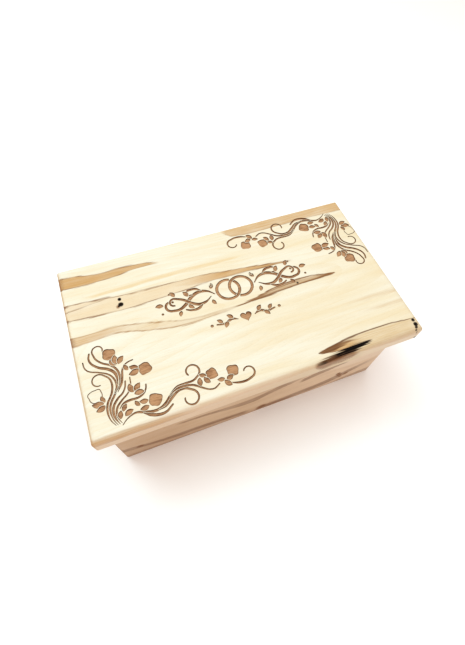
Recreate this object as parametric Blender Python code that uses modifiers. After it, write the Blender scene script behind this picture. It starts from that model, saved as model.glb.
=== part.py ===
"""Wedding card box: mitred maple walls, a let-in bottom and one thick lid board on two brass butt hinges.

Metres, +Z up. The front faces -Y and the length runs along X. The origin is the middle of the footprint,
hinge barrels included, on the surface that the box stands on. The lid is closed.
"""

import math

import bmesh
import bpy
from mathutils import Matrix, Vector

# Lid: one board of 19 mm stock, rounded over along its top edges
LID_LENGTH = 0.305
LID_DEPTH = 0.173
LID_THICKNESS = 0.019
LID_ROUNDOVER = 0.006
LID_CORNER_RADIUS = 0.0024
LID_EASING = 0.0008

# Box: four mitred walls, set in under the lid at the front and both ends and flush with it at the back
BODY_HEIGHT = 0.1007
FRONT_OVERHANG = 0.0105
END_OVERHANG = 0.0075
WALL = 0.0127
BODY_CORNER_RADIUS = 0.003
GLUE_GAP = 0.0002
BOTTOM_THICKNESS = 0.00635
RABBET = 0.00635
REST_GAP = 0.0003

# Hinges: small brass butt hinges, three screws in each leaf, the barrel just clear of the back
HINGE_LENGTH = 0.038
HINGE_INSET = 0.055
KNUCKLES = 5
KNUCKLE_GAP = 0.0003
LEAF_WIDTH = 0.0097
LEAF_THICKNESS = 0.0014
BARREL_RADIUS = 0.0023
BARREL_CLEARANCE = 0.0004
PIN_RADIUS = 0.0011
PIN_END = 0.0006
PIN_EASING = 0.00048
RUNNING_GAP = 0.0002
MORTISE_GAP = 0.0003

# Screws: countersunk and slotted
SCREWS_PER_LEAF = 3
SCREW_PITCH = 0.013
SCREW_STAGGER = 0.0012
SCREW_LENGTH = 0.0095
HEAD_RADIUS = 0.0022
SHANK_RADIUS = 0.0011
HEAD_DEPTH = HEAD_RADIUS - SHANK_RADIUS
TIP_LENGTH = 0.0025
HEAD_RECESS = 0.0001
SLOT_WIDTH = 0.0005
SLOT_DEPTH = 0.0005
FIRST_SLOT_TURN = math.radians(25)
SLOT_TURN_STEP = math.radians(47)

# How finely round faces are drawn
ROUND_SIDES = 24
SCREW_SIDES = 20
ROUNDOVER_STEPS = 5
CORNER_STEPS = 4
PIN_STEPS = 3
RIM_ANGLE = math.radians(60)
SHARP_ANGLE = math.radians(35)

# Places worked out from the sizes above
AXIS_OFFSET = BARREL_RADIUS + BARREL_CLEARANCE
TOTAL_DEPTH = LID_DEPTH + AXIS_OFFSET + BARREL_RADIUS
LID_FRONT = -TOTAL_DEPTH / 2
BACK = LID_FRONT + LID_DEPTH
BODY_FRONT = LID_FRONT + FRONT_OVERHANG
BODY_HALF = LID_LENGTH / 2 - END_OVERHANG
LID_BASE = BODY_HEIGHT + REST_GAP
AXIS_Y = BACK + AXIS_OFFSET
AXIS_Z = BODY_HEIGHT + REST_GAP / 2
HINGE_X = LID_LENGTH / 2 - HINGE_INSET
SCREW_Y = BACK - LEAF_WIDTH / 2
HAIR = 0.001

MAPLE = ("maple", (0.86, 0.74, 0.52), 0.45, 0.0)
MAPLE_LID = ("maple_lid", (0.92, 0.84, 0.64), 0.4, 0.0)
PLY = ("maple_panel", (0.88, 0.78, 0.58), 0.5, 0.0)
BRASS = ("brass", (0.78, 0.57, 0.24), 0.28, 1.0)
SCREW_BRASS = ("screw_brass", (0.72, 0.51, 0.2), 0.32, 1.0)


def clear_scene():
    for obj in list(bpy.data.objects):
        bpy.data.objects.remove(obj, do_unlink=True)


def new_collection(name, hidden=False):
    collection = bpy.data.collections.new(name)
    bpy.context.scene.collection.children.link(collection)
    collection.hide_render = hidden
    return collection


def material(kind):
    name, colour, roughness, metallic = kind
    found = bpy.data.materials.get(name)
    if found:
        return found
    made = bpy.data.materials.new(name)
    made.use_nodes = True
    shader = made.node_tree.nodes["Principled BSDF"]
    shader.inputs["Base Color"].default_value = (*colour, 1.0)
    shader.inputs["Roughness"].default_value = roughness
    shader.inputs["Metallic"].default_value = metallic
    made.diffuse_color = (*colour, 1.0)
    return made


def place(mesh_name, bm, collection, origin=(0, 0, 0), kind=None):
    """Turns a bmesh drawn in world places into an object whose origin is at the given point."""
    bmesh.ops.translate(bm, verts=bm.verts, vec=-Vector(origin))
    mesh = bpy.data.meshes.new(mesh_name)
    bm.to_mesh(mesh)
    bm.free()
    obj = bpy.data.objects.new(mesh_name, mesh)
    obj.location = origin
    collection.objects.link(obj)
    if kind:
        mesh.materials.append(material(kind))
    else:
        obj.display_type = "WIRE"
        obj.hide_render = True
    return obj


def add_box(bm, low, high):
    low, high = Vector(low), Vector(high)
    size = Matrix.Diagonal((*(high - low), 1.0))
    bmesh.ops.create_cube(bm, size=1.0, matrix=Matrix.Translation((low + high) / 2) @ size)


def add_cylinder(bm, centre, radius, length, along="Z", sides=ROUND_SIDES, end_radius=None):
    turn = Matrix.Rotation(math.pi / 2, 4, "Y") if along == "X" else Matrix.Identity(4)
    bmesh.ops.create_cone(
        bm,
        cap_ends=True,
        segments=sides,
        radius1=radius,
        radius2=radius if end_radius is None else end_radius,
        depth=length,
        matrix=Matrix.Translation(centre) @ turn,
    )


def box(name, low, high, collection, origin=(0, 0, 0), kind=None):
    bm = bmesh.new()
    add_box(bm, low, high)
    return place(name, bm, collection, origin, kind)


def cut(obj, cutter, operation="DIFFERENCE"):
    boolean = obj.modifiers.new(f"{operation.lower()}_{cutter.name}", "BOOLEAN")
    boolean.operation = operation
    boolean.solver = "EXACT"
    if isinstance(cutter, bpy.types.Collection):
        boolean.operand_type = "COLLECTION"
        boolean.collection = cutter
    else:
        boolean.object = cutter


def weigh_edges(mesh, weight_of):
    """Gives each edge a bevel weight from a function of its two ends."""
    weights = mesh.attributes.new("bevel_weight_edge", "FLOAT", "EDGE")
    for edge in mesh.edges:
        first, second = (mesh.vertices[i].co for i in edge.vertices)
        weights.data[edge.index].value = weight_of(first, second)


def round_by_weight(obj, widest, segments):
    bevel = obj.modifiers.new("rounding", "BEVEL")
    bevel.limit_method = "WEIGHT"
    bevel.width = widest
    bevel.segments = segments


def make_lid(collection, hinge_seats):
    """The lid board: top edges rounded over, upright corners and underside only eased."""
    low = (-LID_LENGTH / 2, LID_FRONT, LID_BASE)
    high = (LID_LENGTH / 2, BACK, LID_BASE + LID_THICKNESS)
    lid = box("lid_board", low, high, collection, (0, AXIS_Y, AXIS_Z), MAPLE_LID)
    top = LID_BASE + LID_THICKNESS - AXIS_Z

    def weight(first, second):
        if abs(first.z - second.z) > HAIR:
            return LID_CORNER_RADIUS / LID_ROUNDOVER
        return 1.0 if abs(first.z - top) < HAIR else LID_EASING / LID_ROUNDOVER

    weigh_edges(lid.data, weight)
    round_by_weight(lid, LID_ROUNDOVER, ROUNDOVER_STEPS)
    cut(lid, hinge_seats)
    return lid


def make_carcass_form(cutters):
    """The outside of the four glued walls, upright corners rounded, foot and rim eased."""
    form = box(
        "carcass_form", (-BODY_HALF, BODY_FRONT, 0), (BODY_HALF, BACK, BODY_HEIGHT), cutters
    )

    def weight(first, second):
        upright = abs(first.z - second.z) > HAIR
        return 1.0 if upright else LID_EASING / BODY_CORNER_RADIUS

    weigh_edges(form.data, weight)
    round_by_weight(form, BODY_CORNER_RADIUS, CORNER_STEPS)
    return form


def wall_outlines():
    """Plan of each mitred wall, outer edge first and left over-wide there, with half a glue line off each mitre."""
    slip = GLUE_GAP / 2 * math.sqrt(2)
    x, front, back = BODY_HALF, BODY_FRONT, BACK
    out, deep = HAIR, WALL
    return {
        "front_wall": [(-x - out + slip, front - out), (x + out - slip, front - out),
                       (x - deep - slip, front + deep), (-x + deep + slip, front + deep)],
        "back_wall": [(x + out - slip, back + out), (-x - out + slip, back + out),
                      (-x + deep + slip, back - deep), (x - deep - slip, back - deep)],
        "left_wall": [(-x - out, back + out - slip), (-x - out, front - out + slip),
                      (-x + deep, front + deep + slip), (-x + deep, back - deep - slip)],
        "right_wall": [(x + out, front - out + slip), (x + out, back + out - slip),
                       (x - deep, back - deep - slip), (x - deep, front + deep + slip)],
    }


def make_wall(name, outline, collection, form, rabbet):
    """A board with mitred ends: its plan raised past the body's height, then shaped to the rounded outside."""
    curve = bpy.data.curves.new(name, "CURVE")
    curve.dimensions = "2D"
    curve.fill_mode = "BOTH"
    curve.extrude = BODY_HEIGHT / 2 + HAIR
    spline = curve.splines.new("POLY")
    spline.points.add(len(outline) - 1)
    for point, (x, y) in zip(spline.points, outline):
        point.co = (x, y, 0, 1)
    spline.use_cyclic_u = True
    flat = bpy.data.objects.new(name + "_plan", curve)
    bpy.context.scene.collection.objects.link(flat)
    mesh = bpy.data.meshes.new_from_object(flat.evaluated_get(bpy.context.evaluated_depsgraph_get()))
    bpy.data.objects.remove(flat, do_unlink=True)
    bm = bmesh.new()
    bm.from_mesh(mesh)
    bpy.data.meshes.remove(mesh)
    bmesh.ops.remove_doubles(bm, verts=bm.verts, dist=1e-6)
    bmesh.ops.recalc_face_normals(bm, faces=bm.faces)
    bmesh.ops.translate(bm, verts=bm.verts, vec=(0, 0, BODY_HEIGHT / 2))
    wall = place(name, bm, collection, kind=MAPLE)
    cut(wall, form, "INTERSECT")
    cut(wall, rabbet)
    return wall


def rabbet_reach(gap=0.0):
    """Half the rabbet's length, its front and its back in plan, drawn in by a gap."""
    shallow = WALL - RABBET + gap
    return BODY_HALF - shallow, BODY_FRONT + shallow, BACK - shallow


def make_bottom(collection):
    """The bottom panel, let into the rabbet and flush with the walls' feet."""
    half, front, back = rabbet_reach(REST_GAP)
    return box("bottom_panel", (-half, front, 0), (half, back, BOTTOM_THICKNESS), collection, kind=PLY)


def make_rabbet_cutter(cutters):
    half, front, back = rabbet_reach()
    high = (half, back, BOTTOM_THICKNESS + REST_GAP)
    return box("rabbet_cutter", (-half, front, -HAIR), high, cutters)


def screw_places(centre_x):
    """Three screws along a leaf, the middle one set nearer the barrel."""
    first = -(SCREWS_PER_LEAF - 1) / 2
    for i in range(SCREWS_PER_LEAF):
        shift = SCREW_STAGGER if i % 2 else -SCREW_STAGGER
        yield centre_x + (first + i) * SCREW_PITCH, SCREW_Y + shift


def cut_hinge_seat(name, centre_x, up, collection):
    """A mortise for one leaf and its pilot holes, as cutters. Up is +1 in the lid and -1 in the wall."""
    face = AXIS_Z + up * REST_GAP / 2
    depth = LEAF_THICKNESS + MORTISE_GAP
    half = HINGE_LENGTH / 2 + MORTISE_GAP
    ends = sorted((face - up * HAIR, face + up * depth))
    low = (centre_x - half, BACK - LEAF_WIDTH - MORTISE_GAP, ends[0])
    box(name + "_mortise", low, (centre_x + half, BACK + HAIR, ends[1]), collection)
    for i, (x, y) in enumerate(screw_places(centre_x)):
        bm = bmesh.new()
        length = SCREW_LENGTH + MORTISE_GAP
        add_cylinder(bm, (x, y, face + up * length / 2), SHANK_RADIUS + MORTISE_GAP, length, sides=SCREW_SIDES)
        place(f"{name}_pilot_{i + 1}", bm, collection)


def knuckle_spans(centre_x, own):
    """Start and end of each knuckle along X. Own is 0 for the three of the body leaf and 1 for the lid leaf's two."""
    step = HINGE_LENGTH / KNUCKLES
    start = centre_x - HINGE_LENGTH / 2
    for i in range(own, KNUCKLES, 2):
        yield start + i * step, start + (i + 1) * step


def make_leaf(name, centre_x, up, own, collection, cutters):
    """A leaf: a plate joined to its knuckles, notched for the other leaf's, bored for the pin and the screws."""
    face = AXIS_Z + up * REST_GAP / 2
    ends = sorted((face, face + up * LEAF_THICKNESS))
    half = HINGE_LENGTH / 2
    origin = (centre_x, AXIS_Y, AXIS_Z)
    low = (centre_x - half, BACK - LEAF_WIDTH, ends[0])
    leaf = box(name, low, (centre_x + half, AXIS_Y, ends[1]), collection, origin, BRASS)

    bm = bmesh.new()
    add_cylinder(bm, (centre_x, AXIS_Y, AXIS_Z), BARREL_RADIUS, HINGE_LENGTH, "X")
    barrel = place(name + "_barrel", bm, cutters)
    cut(leaf, barrel, "UNION")

    work = new_collection(name + "_cutters", hidden=True)
    reach = BARREL_RADIUS + KNUCKLE_GAP
    for i, (start, end) in enumerate(knuckle_spans(centre_x, 1 - own)):
        low_x = start - KNUCKLE_GAP / 2 - (HAIR if abs(start - centre_x + half) < HAIR else 0)
        high_x = end + KNUCKLE_GAP / 2 + (HAIR if abs(end - centre_x - half) < HAIR else 0)
        low = (low_x, AXIS_Y - reach, AXIS_Z - reach)
        box(f"{name}_notch_{i + 1}", low, (high_x, AXIS_Y + reach, AXIS_Z + reach), work)
    bm = bmesh.new()
    bore = PIN_RADIUS + RUNNING_GAP
    add_cylinder(bm, (centre_x, AXIS_Y, AXIS_Z), bore, HINGE_LENGTH + 2 * HAIR, "X", SCREW_SIDES)
    place(name + "_bore", bm, work)
    for i, (x, y) in enumerate(screw_places(centre_x)):
        place_countersink(f"{name}_countersink_{i + 1}", x, y, face, up, work)
    cut(leaf, work)
    return leaf


def turned(name, profile, x, y, z, up, collection, kind=None):
    """A turned piece: profile points (radius, height) from the top down, revolved round a line along Z."""
    bm = bmesh.new()
    points = [bm.verts.new((radius, 0, height)) for radius, height in profile]
    edges = [bm.edges.new(pair) for pair in zip(points, points[1:])]
    bmesh.ops.spin(
        bm,
        geom=points + edges,
        cent=(0, 0, 0),
        axis=(0, 0, 1),
        angle=math.tau,
        steps=SCREW_SIDES,
        use_merge=True,
    )
    bmesh.ops.remove_doubles(bm, verts=bm.verts, dist=1e-6)
    if up > 0:
        bmesh.ops.rotate(bm, verts=bm.verts, cent=(0, 0, 0), matrix=Matrix.Rotation(math.pi, 3, "X"))
    bmesh.ops.translate(bm, verts=bm.verts, vec=(x, y, z))
    bmesh.ops.recalc_face_normals(bm, faces=bm.faces)
    return place(name, bm, collection, (x, y, z), kind)


def place_countersink(name, x, y, face, up, collection):
    """The hole in a leaf: a cone that takes the screw's head over a plain clearance hole."""
    gap = RUNNING_GAP
    profile = [
        (0, HAIR),
        (HEAD_RADIUS + gap, HAIR),
        (HEAD_RADIUS + gap, 0),
        (SHANK_RADIUS + gap, -HEAD_DEPTH),
        (SHANK_RADIUS + gap, -LEAF_THICKNESS - HAIR),
        (0, -LEAF_THICKNESS - HAIR),
    ]
    return turned(name, profile, x, y, face, up, collection)


def make_screw(name, x, y, up, angle, collection, cutters):
    """A countersunk wood screw, its slot turned by the given angle. Its head lies just under the leaf's face."""
    face = AXIS_Z + up * (REST_GAP / 2 + HEAD_RECESS)
    profile = [
        (0, 0),
        (HEAD_RADIUS, 0),
        (SHANK_RADIUS, -HEAD_DEPTH),
        (SHANK_RADIUS, TIP_LENGTH - SCREW_LENGTH),
        (0, -SCREW_LENGTH + 2 * HEAD_RECESS),
    ]
    screw = turned(name, profile, x, y, face, up, collection, SCREW_BRASS)
    bm = bmesh.new()
    half = HEAD_RADIUS + HAIR
    add_box(bm, (-half, -SLOT_WIDTH / 2, -SLOT_DEPTH), (half, SLOT_WIDTH / 2, SLOT_DEPTH))
    bmesh.ops.rotate(bm, verts=bm.verts, cent=(0, 0, 0), matrix=Matrix.Rotation(angle, 3, "Z"))
    bmesh.ops.translate(bm, verts=bm.verts, vec=(x, y, face))
    cut(screw, place(name + "_slot", bm, cutters))
    return screw


def make_pin(name, centre_x, collection):
    """The hinge pin, its ends standing a little out of the barrel and rounded."""
    bm = bmesh.new()
    length = HINGE_LENGTH + 2 * PIN_END
    add_cylinder(bm, (centre_x, AXIS_Y, AXIS_Z), PIN_RADIUS, length, "X", SCREW_SIDES)
    pin = place(name, bm, collection, (centre_x, AXIS_Y, AXIS_Z), BRASS)
    bevel = pin.modifiers.new("rounding", "BEVEL")
    bevel.limit_method = "ANGLE"
    bevel.angle_limit = RIM_ANGLE
    bevel.width = PIN_EASING
    bevel.segments = PIN_STEPS
    return pin


def shade(obj):
    obj.data.shade_smooth()
    obj.data.set_sharp_from_angle(angle=SHARP_ANGLE)


def parent_to(children, empty):
    """Hangs the pieces on the empty without moving them."""
    bpy.context.view_layer.update()
    for child in children:
        child.parent = empty
        child.matrix_parent_inverse = empty.matrix_world.inverted()


def main():
    clear_scene()
    parts = new_collection("wedding_card_box")
    cutters = new_collection("cutters", hidden=True)
    lid_seats = new_collection("lid_hinge_seats", hidden=True)
    wall_seats = new_collection("wall_hinge_seats", hidden=True)

    sides = {"left": -HINGE_X, "right": HINGE_X}
    for side, x in sides.items():
        cut_hinge_seat(f"{side}_lid_seat", x, 1, lid_seats)
        cut_hinge_seat(f"{side}_wall_seat", x, -1, wall_seats)

    form = make_carcass_form(cutters)
    rabbet = make_rabbet_cutter(cutters)
    for name, outline in wall_outlines().items():
        wall = make_wall(name, outline, parts, form, rabbet)
        if name == "back_wall":
            cut(wall, wall_seats)
    make_bottom(parts)

    swinging = [make_lid(parts, lid_seats)]
    for side, x in sides.items():
        make_leaf(f"{side}_hinge_body_leaf", x, -1, 0, parts, cutters)
        swinging.append(make_leaf(f"{side}_hinge_lid_leaf", x, 1, 1, parts, cutters))
        make_pin(f"{side}_hinge_pin", x, parts)
        for i, (screw_x, screw_y) in enumerate(screw_places(x)):
            turn = (FIRST_SLOT_TURN + i * SLOT_TURN_STEP) * (1 if side == "left" else -1)
            make_screw(f"{side}_wall_screw_{i + 1}", screw_x, screw_y, -1, turn, parts, cutters)
            name = f"{side}_lid_screw_{i + 1}"
            swinging.append(make_screw(name, screw_x, screw_y, 1, -turn, parts, cutters))

    lid_axis = bpy.data.objects.new("lid_axis", None)
    lid_axis.location = (0, AXIS_Y, AXIS_Z)
    parts.objects.link(lid_axis)
    parent_to(swinging, lid_axis)
    for obj in parts.objects:
        if obj.type == "MESH":
            shade(obj)


main()
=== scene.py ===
import math
from collections import namedtuple

import bmesh
import bpy
import numpy as np
from mathutils import Matrix, Vector
from mathutils.geometry import delaunay_2d_cdt


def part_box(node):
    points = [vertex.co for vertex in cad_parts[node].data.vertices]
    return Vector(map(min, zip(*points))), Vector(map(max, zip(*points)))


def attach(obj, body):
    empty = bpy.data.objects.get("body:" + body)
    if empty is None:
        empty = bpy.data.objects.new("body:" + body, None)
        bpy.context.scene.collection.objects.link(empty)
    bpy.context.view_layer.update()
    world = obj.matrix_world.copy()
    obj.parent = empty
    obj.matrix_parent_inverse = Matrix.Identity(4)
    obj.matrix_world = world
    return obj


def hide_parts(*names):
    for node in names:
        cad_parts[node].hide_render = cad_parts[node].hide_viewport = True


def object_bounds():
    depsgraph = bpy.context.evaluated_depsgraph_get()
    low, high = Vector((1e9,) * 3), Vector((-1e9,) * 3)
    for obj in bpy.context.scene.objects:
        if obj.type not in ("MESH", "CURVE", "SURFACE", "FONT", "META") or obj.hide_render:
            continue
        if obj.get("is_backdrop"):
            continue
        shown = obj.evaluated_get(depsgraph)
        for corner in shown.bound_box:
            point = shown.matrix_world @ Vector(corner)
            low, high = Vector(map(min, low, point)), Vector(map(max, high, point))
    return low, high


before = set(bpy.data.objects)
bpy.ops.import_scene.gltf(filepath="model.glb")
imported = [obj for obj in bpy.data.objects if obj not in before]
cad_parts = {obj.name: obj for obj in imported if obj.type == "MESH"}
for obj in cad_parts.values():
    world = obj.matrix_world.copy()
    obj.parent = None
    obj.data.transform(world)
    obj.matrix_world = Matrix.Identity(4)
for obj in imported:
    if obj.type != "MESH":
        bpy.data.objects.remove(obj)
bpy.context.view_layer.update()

MM = 0.001

# ---------------------------------------------------------------------------------------------
# Table, light and camera
# The box stands on a plain white sheet. A big soft window lies behind it and to its left, a
# white ceiling above, and the camera is held close, above the front-left corner.

CAMERA_PLACE = Vector((-0.0868, -0.1804, 0.4240))
CAMERA_AZIMUTH = math.radians(25.36)
CAMERA_DIP = math.radians(60.46)
CAMERA_ROLL = math.radians(5.17)
CAMERA_LENS = 21.62
DAYLIGHT = (0.66, 0.90, 1.0)
ROOM_LIGHT = (1.0, 0.775, 0.66, 1)


def aim_camera():
    azimuth, dip = CAMERA_AZIMUTH, CAMERA_DIP
    level = math.cos(dip)
    ahead = Vector((math.sin(azimuth) * level, math.cos(azimuth) * level, -math.sin(dip)))
    right = Vector((math.cos(azimuth), -math.sin(azimuth), 0))
    axes = Matrix((right, right.cross(ahead), -ahead)).transposed()
    turn = axes @ Matrix.Rotation(CAMERA_ROLL, 3, "Z")
    camera = bpy.data.objects.new("camera", bpy.data.cameras.new("camera"))
    camera.data.lens = CAMERA_LENS
    camera.data.sensor_width = 36
    camera.matrix_world = Matrix.Translation(CAMERA_PLACE) @ turn.to_4x4()
    bpy.context.scene.collection.objects.link(camera)
    bpy.context.scene.camera = camera


def soft_light(name, place, target, size, power, colour=(1, 1, 1)):
    data = bpy.data.lights.new(name, "AREA")
    data.size = size
    data.energy = power
    data.color = colour
    lamp = bpy.data.objects.new(name, data)
    lamp.location = place
    lamp.rotation_euler = (Vector(target) - Vector(place)).to_track_quat("-Z", "Y").to_euler()
    bpy.context.scene.collection.objects.link(lamp)


def add(tree, kind, links=(), **settings):
    """Adds a shader node. Links are its inputs by name or number: other nodes' outputs, or plain values."""
    node = tree.nodes.new("ShaderNode" + kind)
    for key, value in settings.items():
        setattr(node, key, value)
    for key, value in dict(links).items():
        if isinstance(value, bpy.types.NodeSocket):
            tree.links.new(value, node.inputs[key])
        else:
            node.inputs[key].default_value = value
    return node


def maths(tree, operation, *values, clamp=False):
    node = add(tree, "Math", enumerate(values), operation=operation, use_clamp=clamp)
    return node.outputs[0]


def new_material(name):
    """An empty material with its Principled shader: (material, node tree, shader)."""
    material = bpy.data.materials.new(name)
    material.use_nodes = True
    tree = material.node_tree
    return material, tree, tree.nodes["Principled BSDF"]


def make_table():
    mesh = bpy.data.meshes.new("table")
    bm = bmesh.new()
    bmesh.ops.create_grid(bm, x_segments=1, y_segments=1, size=3)
    bmesh.ops.translate(bm, verts=bm.verts, vec=(0, 0, -0.05 * MM))
    bm.to_mesh(mesh)
    bm.free()
    table = bpy.data.objects.new("table", mesh)
    bpy.context.scene.collection.objects.link(table)
    material, tree, shader = new_material("white_sheet")
    shader.inputs["Base Color"].default_value = (0.93, 0.915, 0.90, 1)
    shader.inputs["Roughness"].default_value = 0.7
    mesh.materials.append(material)
    table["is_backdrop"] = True


aim_camera()
soft_light("window", (-0.6, 0.9, 1.7), (0, 0, 0.05), 1.0, 14, DAYLIGHT)
soft_light("ceiling", (0.0, 0.1, 2.0), (0, 0, 0.05), 1.6, 26, DAYLIGHT)
studio = bpy.data.worlds.new("studio")
studio.use_nodes = True
studio.node_tree.nodes["Background"].inputs["Color"].default_value = ROOM_LIGHT
studio.node_tree.nodes["Background"].inputs["Strength"].default_value = 0.8
bpy.context.scene.world = studio
bpy.context.scene.view_settings.view_transform = "Standard"
make_table()

# ---------------------------------------------------------------------------------------------
# Engraving
# A laser burns the pattern into the finished lid: a spray of vine with blossoms in the front
# left corner, the same spray turned half round at the back right, and between them two linked
# rings in scrollwork over a small heart. Places are millimetres from the lid's front left corner.

STEM_SINGE = 0.45
LEAF_SINGE = 0.18
PATH_STEP = 0.7
CURL_STEP = math.radians(9)
CLEARANCE = 0.4
STEM_CLEARANCE = 0.3

# A stroke is an outline, a smaller one inside it, how brown the wood is within that, and the gap of
# plain wood that the stroke keeps round itself where it crosses others.
Stroke = namedtuple("Stroke", "outline core singe gap")


def smooth_path(points):
    """A flowing line through a few placed points (Catmull-Rom)."""
    p = np.array(points, float)
    p = np.vstack([2 * p[0] - p[1], p, 2 * p[-1] - p[-2]])
    runs = []
    for a, b, c, d in zip(p, p[1:], p[2:], p[3:]):
        steps = max(int(np.linalg.norm(c - b) / PATH_STEP), 2)
        t = np.linspace(0, 1, steps, endpoint=False)[:, None]
        cubic = 2 * b + (c - a) * t + (2 * a - 5 * b + 4 * c - d) * t**2 + (3 * b - a - 3 * c + d) * t**3
        runs.append(cubic / 2)
    return np.vstack(runs + [p[-2][None]])


def curl(path, side, radius, sweep, tighten=0.3):
    """Runs a path on into a closing spiral, to the left where side is 1 and to the right where it is -1."""
    heading = math.atan2(*(path[-1] - path[-2])[::-1])
    count = int(math.radians(sweep) / CURL_STEP)
    place, more = path[-1], []
    for i in range(count):
        heading += side * CURL_STEP
        reach = radius * (1 - tighten * i / count) * CURL_STEP
        place = place + reach * np.array([math.cos(heading), math.sin(heading)])
        more.append(place)
    return np.vstack([path, more])


def ribbon(path, half_widths):
    """The outline, anticlockwise, of a stroke of changing width along a path."""
    along = np.gradient(path, axis=0)
    along /= np.linalg.norm(along, axis=1)[:, None]
    left = np.column_stack([-along[:, 1], along[:, 0]]) * np.asarray(half_widths)[:, None]
    return np.vstack([path - left, (path + left)[::-1]])


def share_along(path):
    """How far along the path each point lies, from 0 to 1."""
    lengths = np.concatenate([[0], np.cumsum(np.linalg.norm(np.diff(path, axis=0), axis=1))])
    return lengths / lengths[-1]


def ease(t):
    t = np.clip(t, 0, 1)
    return t * t * (3 - 2 * t)


def moved(stroke, place):
    return stroke._replace(outline=stroke.outline + place, core=stroke.core + place)


def stem(points, width, curled=None, root=0.3, tip=0.6, gap=STEM_CLEARANCE):
    """A tendril, thickest a third of the way along."""
    path = smooth_path(points)
    if curled:
        path = curl(path, *curled)
    t = share_along(path)
    half = 0.62 * width * (root + (1 - root) * ease(t / 0.25)) * (1 - (1 - tip) * ease((t - 0.3) / 0.7))
    half[-1] *= 0.5
    return Stroke(ribbon(path, half), ribbon(path, half * 0.3), STEM_SINGE, gap)


def leaf(x, y, angle, length):
    """A rounded leaf that bends a little. It grows from just off (x, y) at the angle, in degrees."""
    t = np.linspace(0.004, 0.996, 13)
    turn = math.radians(angle)
    ahead = np.array([math.cos(turn), math.sin(turn)])
    aside = np.array([-ahead[1], ahead[0]])
    bend = 0.08 * length * np.sin(math.pi * t)
    path = np.array([x, y]) + (0.5 + t[:, None] * length) * ahead + bend[:, None] * aside
    half = 0.3 * length * np.sin(math.pi * t**0.9) ** 0.8
    return Stroke(ribbon(path, half), ribbon(path, half * 0.5), LEAF_SINGE, CLEARANCE)


def blossom_outline(x, y, radius, angle):
    """A half-open bloom from the side: a squarish cup, wider towards its tip, with nicked petals."""
    turn = math.radians(angle)
    a = np.linspace(0, math.tau, 36, endpoint=False)
    r = radius / (np.abs(np.cos(a)) ** 3.4 + np.abs(np.sin(a)) ** 3.4) ** (1 / 3.4)
    r *= 1 + 0.025 * np.cos(7 * a + x)
    along, across = r * np.cos(a), r * np.sin(a) * (1 + 0.13 * np.cos(a))
    return np.column_stack([x + along * math.cos(turn) - across * math.sin(turn),
                            y + along * math.sin(turn) + across * math.cos(turn)])


def blossom(x, y, radius, angle):
    outline, core = blossom_outline(x, y, radius, angle), blossom_outline(x, y, radius * 0.84, angle)
    return Stroke(outline, core, 0.0, CLEARANCE)


def open_blossom(x, y, radius, angle):
    """A bloom drawn as a line only, with a gap where its leaves stand."""
    loop = blossom_outline(x, y, radius, angle)
    path = smooth_path(np.roll(loop, -22, axis=0)[:33])
    half = np.full(len(path), 0.36)
    return Stroke(ribbon(path, half), ribbon(path, half * 0.3), STEM_SINGE, 0.0)


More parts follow.
